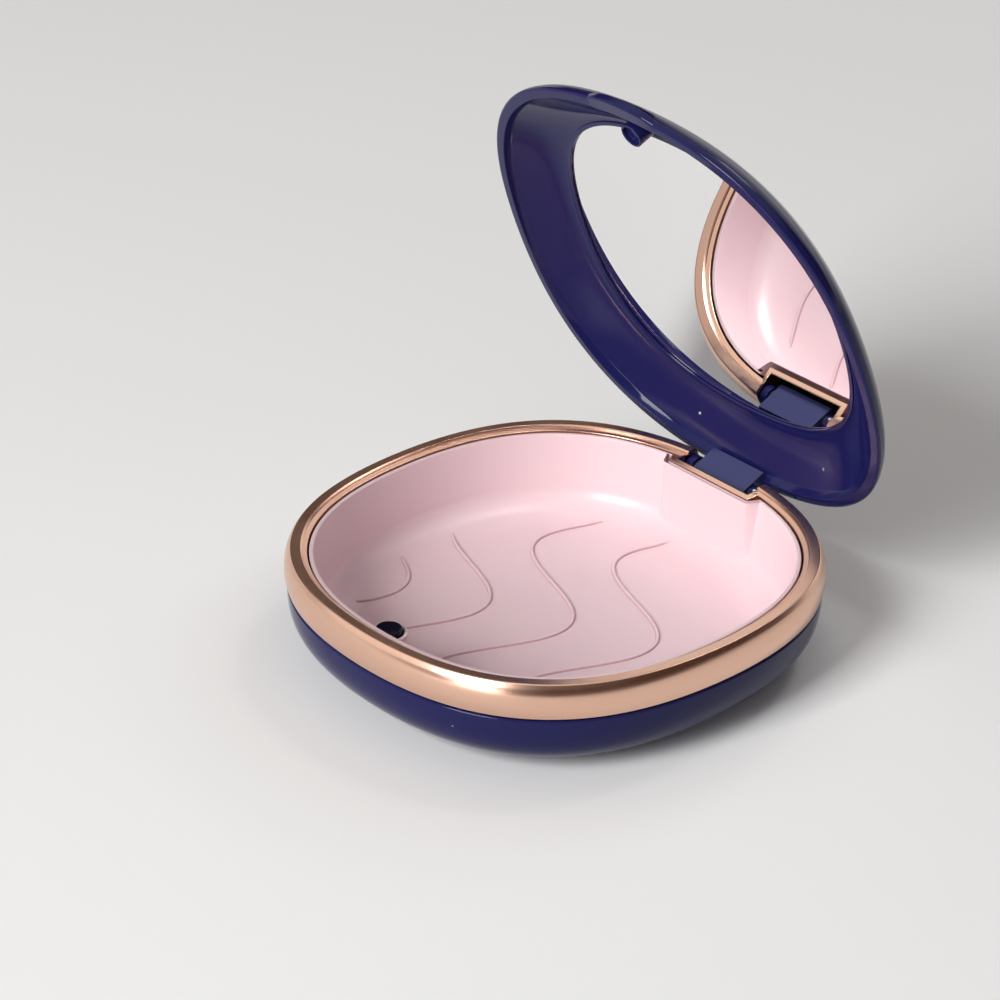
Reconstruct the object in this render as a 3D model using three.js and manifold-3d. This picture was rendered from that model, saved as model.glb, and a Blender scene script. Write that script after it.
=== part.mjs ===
// Retainer case with a mirror lid, standing open.
// Millimetres, +Z up, +Y towards the hinge, -Y towards the thumb lip.
// The lid is modelled shut, in place on the base, and then swung open about its hinge pin.

import * as THREE from 'three';
import { mergeVertices } from 'three/addons/utils/BufferGeometryUtils.js';
import Module from 'manifold-3d';

const wasm = await Module();
wasm.setup();

// Plan of the case, measured at the outer edge of the metal crown
const case_width = 83;
const case_length = 84.2;
const squareness_share = 0.028;
const taper_share = 0.004;

// Clearances, cuts and facets
const fit_gap = 0.3;
const overrun = 1;
const around_steps = 64;
const curve_steps = 9;
const round_steps = 24;

// Bottom shell
const shell_height = 12;
const shell_wall = 1.5;
const shell_step_out = 0.35;
const shell_side_width = 18.85;
const shell_power = 2.8;

// Metal rim band
const band_height = 6.1;
const band_swell = 0.55;
const band_swell_power = 3;
const crown_width = 1.9;
const crown_edge = 0.45;
const crown_corner_share = 0.3;
const crown_bevel = 0.25;
const ledge_drop = 0.75;
const ledge_slope = 0.2;
const ledge_width = 0.75;

// Notch in the band for the hinge
const notch_width = 16.8;
const notch_depth = 5.2;
const notch_wall = 1;

// Inner tray
const tray_wall = 0.7;
const tray_floor = 1.3;
const tray_floor_height = 3.8;
const tray_lip_drop = 0.2;
const tray_draft = 1.4;
const tray_round_width = 7;
const tray_round_height = 4.8;
const bay_wall = 0.7;

// Waves moulded on the tray floor
const wave_count = 4;
const wave_spacing = 15.3;
const wave_first_place = -35.5;
const wave_swing = 8.2;
const wave_length = 46;
const wave_phase_place = 0.6;
const wave_turn_degrees = 24;
const wave_width = 0.8;
const wave_height = 0.4;
const wave_steps = 30;

// Catch at the front: a post on the tray and a tube in the lid, each with a magnet
const catch_inset = 6.1;
const post_width = 4.4;
const post_drop = 1.8;
const post_length = 5.2;
const post_wall = 0.5;
const boss_wall = 0.6;
const boss_drop = 0.8;
const magnet_width = 2.8;
const base_magnet_length = 3.6;
const tube_width = 4.3;
const tube_end_depth = 0.7;
const tube_recess_depth = 0.4;
const tube_end_wall = 0.5;
const lid_magnet_length = 2.1;

// Hinge
const hinge_inset = 1.75;
const hinge_drop = 3;
const pin_width = 1.6;
const pin_length = 16.4;
const ear_width = 1.4;
const ear_outer_gap = 0.2;
const ear_height_below_pin = 6;
const knuckle_width = 4.2;
const knuckle_length = 12;
const washer_thickness = 0.4;
const washer_width = 3.6;
const lid_open_degrees = 67.5;

// Lid shell and liner
const lid_height = 14.8;
const lid_power = 1.6;
const lid_step_in = 0.3;
const lid_shell_wall = 1.2;
const liner_edge = 0.9;
const liner_wall = 1;
const rim_face_width = 1.9;
const rim_round = 0.2;
const pad_width = 26;
const pad_depth = 2.6;

// Thumb lip on the front of the lid
const lip_reach = 1.7;
const lip_width = 15;
const lip_power = 3;
const scoop_width = 16;
const scoop_depth = 1.05;
const scoop_height = 4.4;
const scoop_rise = 1.5;

// Mirror
const mirror_inset = 11.2;
const mirror_depth = 6.5;
const mirror_thickness = 0.8;
const bezel_width = 0.6;
const bezel_rise = 0.3;
const foam_width = 24;

// Places worked out from the sizes above
const half_width = case_width / 2;
const half_length = case_length / 2;
const band_bottom = shell_height + fit_gap;
const crown_z = band_bottom + band_height;
const ledge_z = crown_z - ledge_drop;
const lip_z = ledge_z - tray_lip_drop;
const rim_z = crown_z + fit_gap;
const hinge_y = half_length - hinge_inset;
const hinge_z = crown_z - hinge_drop;
const notch_y = half_length - notch_depth;
const band_inner_inset = crown_width + crown_bevel + ledge_width;
const catch_y = catch_inset - half_length;
const post_top = crown_z - post_drop;
const post_bottom = post_top - post_length;

// Finishes
const navy = new THREE.MeshStandardMaterial({ color: 0x262652, roughness: 0.16, metalness: 0 });
const rose_gold = new THREE.MeshStandardMaterial({ color: 0xd9a58a, roughness: 0.18, metalness: 1 });
const pink = new THREE.MeshStandardMaterial({ color: 0xf0cfd2, roughness: 0.4, metalness: 0 });
const silvered = new THREE.MeshStandardMaterial({ color: 0xe8eaea, roughness: 0.02, metalness: 1 });
const steel = new THREE.MeshStandardMaterial({ color: 0xb8bcc0, roughness: 0.3, metalness: 1 });
const foam = new THREE.MeshStandardMaterial({ color: 0xe6e6e2, roughness: 0.9, metalness: 0 });
const magnet_nickel = new THREE.MeshStandardMaterial({ color: 0xa8aaad, roughness: 0.35, metalness: 1 });

// How far the plan stands out at an angle from the back, as a share of the half width
function planShare(angle) {
  const bulge = 1 - squareness_share * Math.cos(4 * angle) - taper_share * Math.cos(3 * angle);
  return bulge / (1 - squareness_share);
}

// A closed body of manifold-3d from a closed three.js geometry
function toSolid(geometry) {
  const bare = geometry.clone();
  bare.deleteAttribute('normal');
  bare.deleteAttribute('uv');
  const merged = mergeVertices(bare);
  const index = merged.index.array;
  const corners = [];
  for (let i = 0; i < index.length; i += 3) {
    const [a, b, c] = [index[i], index[i + 1], index[i + 2]];
    if (a !== b && b !== c && c !== a) corners.push(a, b, c);
  }
  const spots = merged.attributes.position.array;
  if (signedVolume(spots, corners) < 0) corners.reverse();
  const mesh = new wasm.Mesh({
    numProp: 3,
    vertProperties: new Float32Array(spots),
    triVerts: new Uint32Array(corners),
  });
  return new wasm.Manifold(mesh);
}

function signedVolume(spots, corners) {
  const at = (n) => new THREE.Vector3(spots[3 * n], spots[3 * n + 1], spots[3 * n + 2]);
  let total = 0;
  for (let i = 0; i < corners.length; i += 3) {
    total += at(corners[i]).dot(at(corners[i + 1]).cross(at(corners[i + 2])));
  }
  return total;
}

function toGeometry(solid) {
  const mesh = solid.getMesh();
  const geometry = new THREE.BufferGeometry();
  geometry.setAttribute('position', new THREE.BufferAttribute(mesh.vertProperties, 3));
  geometry.setIndex(new THREE.BufferAttribute(mesh.triVerts, 1));
  geometry.computeVertexNormals();
  return geometry;
}

function piece(name, solid, material) {
  const mesh = new THREE.Mesh(toGeometry(solid), material);
  mesh.name = name;
  return mesh;
}

// A body that follows the plan: the profile holds half widths and heights
function followPlan(profile) {
  const geometry = new THREE.LatheGeometry(profile, around_steps);
  geometry.rotateX(Math.PI / 2);
  const spots = geometry.attributes.position;
  for (let i = 0; i < spots.count; i += 1) {
    const share = planShare(Math.atan2(spots.getX(i), spots.getY(i)));
    spots.setX(i, spots.getX(i) * share);
    spots.setY(i, spots.getY(i) * share * (case_length / case_width));
  }
  return toSolid(geometry);
}

function spot(half, height) {
  return new THREE.Vector2(half, height);
}

// Half widths and heights along a rounded dome, from its edge to its crown, or to where it is cut
function domeCurve(edge_half, edge_z, top_z, power, stop_half = 0) {
  const points = [];
  const stop_share = Math.pow(stop_half / edge_half, power / 2);
  const turn = Math.acos(stop_share);
  for (let i = 0; i <= curve_steps; i += 1) {
    const angle = (turn * i) / curve_steps;
    const half = i === curve_steps ? stop_half : edge_half * Math.pow(Math.cos(angle), 2 / power);
    points.push(spot(half, edge_z + (top_z - edge_z) * Math.pow(Math.sin(angle), 2 / power)));
  }
  return points;
}

// A block between two corners
function block(x0, x1, y0, y1, z0, z1) {
  const geometry = new THREE.BoxGeometry(x1 - x0, y1 - y0, z1 - z0);
  geometry.translate((x0 + x1) / 2, (y0 + y1) / 2, (z0 + z1) / 2);
  return toSolid(geometry);
}

// An upright cylinder between two heights
function upright(width, y, z0, z1) {
  const geometry = new THREE.CylinderGeometry(width / 2, width / 2, z1 - z0, round_steps);
  geometry.rotateX(Math.PI / 2);
  geometry.translate(0, y, (z0 + z1) / 2);
  return toSolid(geometry);
}

// A cylinder on the hinge axis between two places along it
function alongHinge(width, x0, x1) {
  const geometry = new THREE.CylinderGeometry(width / 2, width / 2, x1 - x0, round_steps);
  geometry.rotateZ(Math.PI / 2);
  geometry.translate((x0 + x1) / 2, hinge_y, hinge_z);
  return toSolid(geometry);
}

// Ears that carry the hinge pin, one at each end of the notch
const ear_outer_x = notch_width / 2 - ear_outer_gap;
const ear_inner_x = ear_outer_x - ear_width;
const pin_hole_width = pin_width + 2 * fit_gap;

function hingeEar(side) {
  const inner = Math.min(side * ear_inner_x, side * ear_outer_x);
  const outer = Math.max(side * ear_inner_x, side * ear_outer_x);
  const front = hinge_y - knuckle_width / 2;
  const back = hinge_y + knuckle_width / 2;
  const foot = block(inner, outer, front, back, hinge_z - ear_height_below_pin, hinge_z);
  return foot.add(alongHinge(knuckle_width, inner, outer));
}

// Outer skin of the bottom, a shallow bowl with a flat underside
function bottomShell() {
  const edge_half = half_width + shell_step_out;
  const outer = [spot(0, 0)];
  const inner = [];
  for (let i = 0; i <= curve_steps; i += 1) {
    const angle = (Math.PI / 2) * (1 - i / curve_steps);
    const in_share = 1 - Math.pow(Math.cos(angle), 2 / shell_power);
    const down_share = Math.pow(Math.sin(angle), 2 / shell_power);
    const half = edge_half - shell_side_width * in_share;
    outer.push(spot(half, shell_height * (1 - down_share)));
    inner.unshift(spot(half - shell_wall, shell_height - (shell_height - shell_wall) * down_share));
  }
  const bowl = followPlan([...outer, ...inner, spot(0, shell_wall)]);
  const ears = hingeEar(-1).add(hingeEar(1));
  const pin_hole = alongHinge(pin_hole_width, -notch_width / 2 - overrun, notch_width / 2 + overrun);
  return bowl.add(ears).subtract(pin_hole);
}

// Metal band with a flat crown, an inner ledge and a notch for the hinge
function rimBand() {
  const inner_half = half_width - band_inner_inset;
  const crown_inner = half_width - crown_width;
  const profile = [
    spot(inner_half, band_bottom),
    spot(half_width + shell_step_out - crown_bevel, band_bottom),
    spot(half_width + shell_step_out, band_bottom + crown_bevel),
  ];
  const side_height = band_height - crown_bevel - crown_edge;
  for (let i = 1; i < curve_steps; i += 1) {
    const share = i / curve_steps;
    const swell = band_swell * (1 - Math.pow(Math.abs(2 * share - 1), band_swell_power));
    const half = half_width + shell_step_out * (1 - share) + swell;
    profile.push(spot(half, band_bottom + crown_bevel + side_height * share));
  }
  const corner = crown_edge * crown_corner_share;
  profile.push(
    spot(half_width, crown_z - crown_edge),
    spot(half_width - corner, crown_z - corner),
    spot(half_width - crown_edge, crown_z),
    spot(crown_inner, crown_z),
    spot(crown_inner - crown_bevel, crown_z - crown_bevel),
    spot(crown_inner - crown_bevel, ledge_z + ledge_slope),
    spot(inner_half, ledge_z),
    spot(inner_half, band_bottom),
  );
  const ring = followPlan(profile);
  const half_notch = notch_width / 2;
  const far = half_length + band_swell + overrun;
  const wall = block(-half_notch - notch_wall, half_notch + notch_wall, notch_y - notch_wall,
    half_length - crown_width, band_bottom, ledge_z);
  const cut = block(-half_notch, half_notch, notch_y, far, band_bottom - overrun, crown_z + overrun);
  return ring.add(wall).subtract(cut);
}

// Tray: sizes shared by its skin, its boss and the bay that goes round the hinge notch
const tray_outer_half = half_width - band_inner_inset - fit_gap;
const tray_inner_half = tray_outer_half - tray_wall;
const tray_floor_half = tray_inner_half - tray_draft - tray_round_width;
const tray_top_of_round = tray_floor_height + tray_round_height;

function trayRound(inward, down) {
  const points = [];
  const side_half = tray_inner_half - tray_draft;
  for (let i = 0; i <= curve_steps; i += 1) {
    const angle = (Math.PI / 2) * (i / curve_steps);
    const half = side_half + inward - tray_round_width * (1 - Math.cos(angle));
    points.push(spot(half, tray_top_of_round - down - tray_round_height * Math.sin(angle)));
  }
  return points;
}

function trayEnvelope() {
  const points = [
    spot(0, lip_z),
    spot(tray_outer_half, lip_z),
    ...trayRound(tray_wall, tray_floor),
    spot(0, tray_floor_height - tray_floor),
  ];
  return followPlan(points);
}

function trayHollow() {
  const points = [
    spot(0, lip_z + overrun),
    spot(tray_inner_half, lip_z + overrun),
    spot(tray_inner_half, lip_z),
    ...trayRound(0, 0),
    spot(0, tray_floor_height),
  ];
  return followPlan(points);
}

// One thin wave standing on the floor: a ribbon of even width along a sine line
function floorWave(place) {
  const across = [];
  const back = [];
  const reach = case_length / 2;
  for (let i = 0; i <= wave_steps; i += 1) {
    const along = -reach + (2 * reach * i) / wave_steps;
    const phase = (2 * Math.PI * (along - wave_phase_place)) / wave_length;
    const middle = place + wave_swing * Math.cos(phase);
    const slope = (-2 * Math.PI * wave_swing * Math.sin(phase)) / wave_length;
    const normal = new THREE.Vector2(-slope, 1).normalize().multiplyScalar(wave_width / 2);
    across.push(new THREE.Vector2(along + normal.x, middle + normal.y));
    back.unshift(new THREE.Vector2(along - normal.x, middle - normal.y));
  }
  const depth = wave_height + tray_floor / 2;
  const ribbon = new THREE.ExtrudeGeometry(new THREE.Shape([...across, ...back]), {
    depth,
    bevelEnabled: false,
  });
  ribbon.rotateZ(THREE.MathUtils.degToRad(wave_turn_degrees) - Math.PI / 2);
  ribbon.translate(0, 0, tray_floor_height + wave_height - depth);
  return toSolid(ribbon);
}

function innerTray() {
  const room_half = notch_width / 2 + notch_wall + fit_gap;
  const room_y = notch_y - notch_wall - fit_gap;
  const bay_half = room_half + bay_wall;
  const far = half_length + overrun;
  const bay = block(-bay_half, bay_half, room_y - bay_wall, far, tray_floor_height - tray_floor, lip_z);
  const bay_hollow = block(-room_half, room_half, room_y, far, -overrun, crown_z);
  const socket_width = post_width + 2 * fit_gap;
  const boss_width = socket_width + 2 * boss_wall;
  const boss = upright(boss_width, catch_y, tray_floor_height - tray_floor, post_top - boss_drop);
  const socket = upright(socket_width, catch_y, post_bottom - fit_gap, crown_z);
  const floor_area = followPlan([
    spot(0, 0),
    spot(tray_floor_half + wave_width, 0),
    spot(tray_floor_half + wave_width, crown_z),
    spot(0, crown_z),
  ]);
  const boss_room = followPlan([
    spot(0, tray_top_of_round - tray_floor),
    spot(tray_outer_half, tray_top_of_round - tray_floor),
    spot(tray_outer_half, lip_z),
    spot(0, lip_z),
  ]);
  const envelope = trayEnvelope();
  let tray = envelope.subtract(trayHollow());
  tray = tray.add(bay.intersect(envelope)).add(boss.intersect(envelope.add(boss_room)));
  for (let i = 0; i < wave_count; i += 1) {
    tray = tray.add(floorWave(wave_first_place + wave_spacing * i).intersect(floor_area));
  }
  return tray.subtract(bay_hollow).subtract(socket);
}

// Post that holds the base magnet under a closed top
function magnetPost() {
  const pocket = upright(magnet_width + 2 * fit_gap, catch_y, post_bottom - overrun, post_top - post_wall);
  return upright(post_width, catch_y, post_bottom, post_top).subtract(pocket);
}

function baseMagnet() {
  const top = post_top - post_wall - fit_gap;
  return upright(magnet_width, catch_y, top - base_magnet_length, top);
}

// Pin and washers on the hinge axis
function frictionWasher(side) {
  const middle = (side * (knuckle_length / 2 + ear_inner_x)) / 2;
  const half = washer_thickness / 2;
  const hole = alongHinge(pin_hole_width, middle - half - overrun, middle + half + overrun);
  return alongHinge(washer_width, middle - half, middle + half).subtract(hole);
}

// Lid, shut
const dome_z = rim_z + liner_edge + fit_gap;
const lid_top_z = rim_z + lid_height;

function lidShell() {
  const edge_half = half_width - lid_step_in;
  const outer = domeCurve(edge_half, dome_z, lid_top_z, lid_power);
  const inner = domeCurve(edge_half - lid_shell_wall, dome_z, lid_top_z - lid_shell_wall, lid_power);
  inner.reverse();
  const dome = followPlan([...outer, ...inner, outer[0]]);
  const inside = followPlan([...inner, spot(0, dome_z)]);
  const pad = upright(pad_width, 0, lid_top_z - lid_shell_wall - pad_depth, lid_top_z);
  return dome.add(pad.intersect(inside.add(dome))).subtract(thumbScoop());
}

// Hollow above the thumb lip, a long flat ball that bites into the front of the dome
function thumbScoop() {
  const ball = new THREE.SphereGeometry(1, round_steps, round_steps / 2);
  ball.scale(scoop_width / 2, scoop_depth, scoop_height / 2);
  ball.translate(0, -half_length, dome_z + scoop_rise);
  return toSolid(ball);
}

// Crescent that stands out from the front edge of the liner
function thumbLip() {
  const half = lip_width / 2;
  const inner_y = rim_face_width / 2 - half_length;
  const shape = new THREE.Shape();
  shape.moveTo(-half, inner_y);
  shape.lineTo(half, inner_y);
  for (let i = 0; i <= 2 * curve_steps; i += 1) {
    const share = 1 - i / curve_steps;
    const reach = lip_reach * (1 - Math.pow(Math.abs(share), lip_power));
    const angle = Math.PI - Math.asin((half * share) / half_width);
    shape.lineTo(half * share, half_length * planShare(angle) * Math.cos(angle) - reach);
  }
  const geometry = new THREE.ExtrudeGeometry(shape, { depth: liner_edge, bevelEnabled: false });
  geometry.translate(0, 0, rim_z);
  return toSolid(geometry);
}

// Surfaces of the liner: the face that shows inside the open lid, and its hidden back
const liner_open_half = half_width - mirror_inset + fit_gap;
const liner_back_half = half_width - lid_step_in - lid_shell_wall - fit_gap;
const liner_back_top = lid_top_z - lid_shell_wall - fit_gap;
const liner_face_top = liner_back_top - liner_wall - fit_gap;

// Catch tube: its end has a shallow recess, and the magnet lies behind a closed wall
const tube_end = rim_z + tube_end_depth;
const bore_bottom = tube_end + tube_recess_depth + tube_end_wall;

function linerBack() {
  return domeCurve(liner_back_half, rim_z + liner_edge, liner_back_top, lid_power, liner_open_half);
}

function hingeKnuckle() {
  const half = knuckle_length / 2;
  const front = hinge_y - knuckle_width / 2;
  const back = hinge_y + hinge_inset - rim_round;
  const leaf = block(-half, half, front, back, hinge_z, rim_z + liner_edge - rim_round);
  const barrel = alongHinge(knuckle_width, -half, half);
  const pin_hole = alongHinge(pin_hole_width, -half - overrun, half + overrun);
  return leaf.add(barrel).subtract(pin_hole);
}

function lidLiner() {
  const face = domeCurve(half_width - rim_face_width, rim_z, liner_face_top, lid_power, liner_open_half);
  const bezel_half = liner_open_half + bezel_width;
  const shown = face.filter((point) => point.x > bezel_half + bezel_rise);
  const edge = face[face.length - 1];
  const bezel = [
    spot(bezel_half + bezel_rise, shown[shown.length - 1].y + bezel_rise / 2),
    spot(bezel_half, edge.y - bezel_rise),
    spot(liner_open_half, edge.y - bezel_rise),
  ];
  const back = linerBack().reverse();
  const ring = followPlan([
    spot(half_width - rim_round, rim_z),
    ...shown,
    ...bezel,
    ...back,
    spot(half_width, rim_z + liner_edge),
    spot(half_width, rim_z + rim_round),
    spot(half_width - rim_round, rim_z),
  ]);
  const under_back = followPlan([
    spot(0, rim_z),
    spot(half_width, rim_z),
    ...linerBack(),
    spot(0, lid_top_z),
  ]);
  const bore_width = magnet_width + 2 * fit_gap;
  const tube = upright(tube_width, catch_y, tube_end, lid_top_z).intersect(under_back);
  const recess = upright(bore_width, catch_y, tube_end - overrun, tube_end + tube_recess_depth);
  const bore = upright(bore_width, catch_y, bore_bottom, lid_top_z);
  return ring.add(thumbLip()).add(tube).subtract(recess).subtract(bore).add(hingeKnuckle());
}

function lidMagnet() {
  const bottom = bore_bottom + fit_gap;
  return upright(magnet_width, catch_y, bottom, bottom + lid_magnet_length);
}

const mirror_face_z = rim_z + mirror_depth;
const mirror_back_z = mirror_face_z + mirror_thickness;

function mirrorGlass() {
  const half = half_width - mirror_inset;
  return followPlan([
    spot(0, mirror_face_z),
    spot(half, mirror_face_z),
    spot(half, mirror_back_z),
    spot(0, mirror_back_z),
  ]);
}

function mirrorFoam() {
  const top = lid_top_z - lid_shell_wall - pad_depth - fit_gap;
  return upright(foam_width, 0, mirror_back_z + fit_gap, top);
}

// Base: everything that stands still
const base = new THREE.Group();
base.add(piece('bottom_shell', bottomShell(), navy));
base.add(piece('rim_band', rimBand(), rose_gold));
base.add(piece('inner_tray', innerTray(), pink));
base.add(piece('base_magnet_post', magnetPost(), navy));
base.add(piece('base_magnet', baseMagnet(), magnet_nickel));
base.add(piece('hinge_pin', alongHinge(pin_width, -pin_length / 2, pin_length / 2), steel));
base.add(piece('left_friction_washer', frictionWasher(-1), steel));
base.add(piece('right_friction_washer', frictionWasher(1), steel));

// Lid: everything that swings on the pin
const lid = new THREE.Group();
lid.add(piece('lid_shell', lidShell(), navy));
lid.add(piece('lid_liner', lidLiner(), navy));
lid.add(piece('mirror_glass', mirrorGlass(), silvered));
lid.add(piece('mirror_foam_pad', mirrorFoam(), foam));
lid.add(piece('lid_magnet', lidMagnet(), magnet_nickel));
lid.position.set(0, -hinge_y, -hinge_z);

const swing = new THREE.Group();
swing.add(lid);
swing.position.set(0, hinge_y, hinge_z);
swing.rotation.x = -THREE.MathUtils.degToRad(lid_open_degrees);

const retainer_case = new THREE.Group();
retainer_case.add(base);
retainer_case.add(swing);

export default retainer_case;
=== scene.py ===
"""Retainer case with a mirror lid, standing open: its looks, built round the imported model.

Metres, +Z up, +Y towards the hinge, -Y towards the thumb lip.
The lid's pieces are modelled shut and then turned open about the hinge pin.
"""

import math

import bmesh
import bpy
from mathutils import Matrix, Vector


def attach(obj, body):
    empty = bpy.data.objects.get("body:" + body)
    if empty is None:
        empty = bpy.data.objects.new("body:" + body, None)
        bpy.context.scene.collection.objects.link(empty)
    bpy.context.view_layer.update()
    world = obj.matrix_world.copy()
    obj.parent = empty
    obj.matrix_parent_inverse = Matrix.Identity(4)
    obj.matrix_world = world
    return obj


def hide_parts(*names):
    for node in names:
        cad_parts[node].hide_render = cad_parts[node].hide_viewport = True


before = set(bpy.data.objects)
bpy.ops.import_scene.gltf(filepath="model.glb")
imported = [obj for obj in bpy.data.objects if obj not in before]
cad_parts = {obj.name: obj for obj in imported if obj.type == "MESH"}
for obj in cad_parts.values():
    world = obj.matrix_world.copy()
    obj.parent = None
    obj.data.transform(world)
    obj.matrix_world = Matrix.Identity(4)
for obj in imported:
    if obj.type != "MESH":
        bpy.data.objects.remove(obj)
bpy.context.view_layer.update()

mm = 0.001

# Plan of the case: its length over its width, and how square and how tapered it is
STRETCH = 84.2 / 83
SQUARENESS = 0.028
TAPER = 0.004

# Half widths and heights in millimetres, as profile() takes them
SHELL_HALF = 41.85
SHELL_TOP = 12
SHELL_ROUND = 18.85
SHELL_POWER = 2.8
SHELL_WALL = 1.5
BAND_BOTTOM = 12.3
CROWN = 18.4
LEDGE_HALF = 38.6
LEDGE = 17.65
TRAY_HALF = 36.2
TRAY_ROUND = 7
TRAY_ROUND_TOP = 8.6
TRAY_ROUND_DEPTH = 4.8
TRAY_LIP_HALF = 37.95
TRAY_LIP = 17.5
RIM = 18.7
RIM_INNER_HALF = 39.7
RIM_OUTER_HALF = 41.6
DOME_HALF = 41.2
DOME_EDGE = 19.9
DOME_TOP = 33.5
DOME_POWER = 1.6

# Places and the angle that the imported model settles
HINGE = Vector((0, 40.35 * mm, 15.4 * mm))
CATCH = Vector((0, -36 * mm, 0))
LID_OPEN = math.radians(67.5)

# Columns round the plan, and where they stand closer together
COLUMNS = 320
BAY_ANGLE = math.radians(16.6)
BAY_SPREAD = math.radians(2.2)
LIP_ANGLE = math.radians(10.4)
LIP_SPREAD = math.radians(2.6)

# A step for tests of place, too small to be seen
SLIGHT = 0.01 * mm


def smooth(share):
    """Eases a share from 0 to 1."""
    share = min(1, max(0, share))
    return share * share * (3 - 2 * share)


def plan_share(angle):
    """How far the plan stands out at an angle from the back, as a share of the half width."""
    bulge = 1 - SQUARENESS * math.cos(4 * angle) - TAPER * math.cos(3 * angle)
    return bulge / (1 - SQUARENESS)


def column_angles():
    """Angles of the columns round the plan, closer together at the hinge bay and the thumb lip."""

    def density(angle):
        bay = math.exp(-(((angle - BAY_ANGLE) / BAY_SPREAD) ** 2))
        lip = math.exp(-(((math.pi - angle - LIP_ANGLE) / LIP_SPREAD) ** 2))
        return 1 + 5 * bay + 2.5 * lip

    fine = 4000
    total = [0]
    for i in range(fine):
        total.append(total[-1] + density(math.pi * (i + 0.5) / fine))
    half = []
    place = 0
    for i in range(COLUMNS // 2 + 1):
        target = total[-1] * i / (COLUMNS // 2)
        while place < fine - 1 and total[place + 1] < target:
            place += 1
        part = (target - total[place]) / (total[place + 1] - total[place])
        half.append(math.pi * (place + part) / fine)
    return half


COLUMN_ANGLES = column_angles()


def column_angle(x, y):
    """The angle from the back at which the column of a turned vertex belongs."""
    turn = math.atan2(x, y)
    step = round(abs(turn) / math.pi * (COLUMNS // 2))
    return math.copysign(COLUMN_ANGLES[step], turn)


def arc(points, corner, before, after, radius, steps):
    """Adds a rounded corner of a profile to its points."""
    back = (before - corner).normalized()
    ahead = (after - corner).normalized()
    opening = back.angle(ahead)
    if radius <= 0 or opening > math.radians(176):
        points.append(corner.copy())
        return
    room = min((before - corner).length, (after - corner).length) * 0.49
    reach = min(radius / math.tan(opening / 2), room)
    radius = reach * math.tan(opening / 2)
    middle = corner + (back + ahead).normalized() * (radius / math.sin(opening / 2))
    first = corner + back * reach - middle
    last = corner + ahead * reach - middle
    sweep = first.angle_signed(last)
    for i in range(steps + 1):
        turn = Matrix.Rotation(-sweep * i / steps, 2)
        points.append(middle + turn @ first)


def profile(*corners, closed=False, steps=5):
    """Points in metres from corners of (half width, height, radius) in millimetres."""
    spots = [Vector((c[0], c[1])) * mm for c in corners]
    radii = [c[2] * mm if len(c) > 2 else 0 for c in corners]
    points = []
    count = len(spots)
    for i in range(count):
        if not closed and i in (0, count - 1):
            points.append(spots[i].copy())
        else:
            arc(points, spots[i], spots[i - 1], spots[(i + 1) % count], radii[i], steps)
    if closed:
        points.append(points[0].copy())
    return points


def only(piece):
    """Makes a piece the one that is selected and active."""
    bpy.ops.object.select_all(action="DESELECT")
    piece.select_set(True)
    bpy.context.view_layer.objects.active = piece


def turned(name, points, columns=COLUMNS, middle=(0, 0, 0)):
    """A body turned about an upright line from a profile."""
    bpy.ops.object.select_all(action="DESELECT")
    bpy.ops.mesh.primitive_plane_add(size=mm, location=(0, 0, 0))
    piece = bpy.context.object
    piece.name = name
    bpy.ops.object.mode_set(mode="EDIT")
    bpy.ops.mesh.select_mode(type="VERT")
    bpy.ops.mesh.merge(type="CENTER")
    start = Vector(middle) + Vector((points[0].x, 0, points[0].y))
    bpy.ops.transform.translate(value=start)
    for here, there in zip(points, points[1:]):
        step = Vector((there.x - here.x, 0, there.y - here.y))
        bpy.ops.mesh.extrude_vertices_move(TRANSFORM_OT_translate={"value": step})
    bpy.ops.mesh.select_all(action="SELECT")
    bpy.ops.mesh.spin(steps=columns, angle=2 * math.pi, center=middle, axis=(0, 0, 1))
    bpy.ops.mesh.select_all(action="SELECT")
    bpy.ops.mesh.remove_doubles(threshold=0.004 * mm)
    bpy.ops.mesh.normals_make_consistent(inside=False)
    bpy.ops.object.mode_set(mode="OBJECT")
    return piece


def follow_plan(piece, reshape=None):
    """Moves a turned body's vertices out to the plan of the case, and then by a rule of its own."""
    for vertex in piece.data.vertices:
        half = math.hypot(vertex.co.x, vertex.co.y)
        if half < SLIGHT:
            vertex.co.x = vertex.co.y = 0
            continue
        angle = column_angle(vertex.co.x, vertex.co.y)
        reach = half * plan_share(angle)
        spot = Vector((reach * math.sin(angle), reach * math.cos(angle) * STRETCH, vertex.co.z))
        vertex.co = reshape(spot, half) if reshape else spot


def soften(piece, degrees=38):
    """Smooth shading, but not across sharp edges, and large faces stay flat."""
    only(piece)
    bpy.ops.object.shade_smooth_by_angle(angle=math.radians(degrees))
    weighed = piece.modifiers.new("weighed", "WEIGHTED_NORMAL")
    weighed.keep_sharp = True
    bpy.ops.object.modifier_apply(modifier=weighed.name)


def choose(piece, kind, test):
    """Selects the vertices, edges or faces of a piece that pass a test, and stays in edit mode."""
    only(piece)
    bpy.ops.object.mode_set(mode="EDIT")
    bpy.ops.mesh.select_mode(type=kind)
    bpy.ops.mesh.select_all(action="DESELECT")
    mesh = bmesh.from_edit_mesh(piece.data)
    parts = {"VERT": mesh.verts, "EDGE": mesh.edges, "FACE": mesh.faces}[kind]
    for part in parts:
        if test(part):
            part.select_set(True)
    mesh.select_flush_mode()
    bmesh.update_edit_mesh(piece.data)


def choose_all(piece):
    """Selects all of a piece, and stays in edit mode."""
    only(piece)
    bpy.ops.object.mode_set(mode="EDIT")
    bpy.ops.mesh.select_all(action="SELECT")


def leave():
    bpy.ops.object.mode_set(mode="OBJECT")


def merge(piece):
    """Merges the vertices of a piece that lie in one place."""
    choose_all(piece)
    bpy.ops.mesh.remove_doubles(threshold=0.002 * mm)
    leave()


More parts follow.
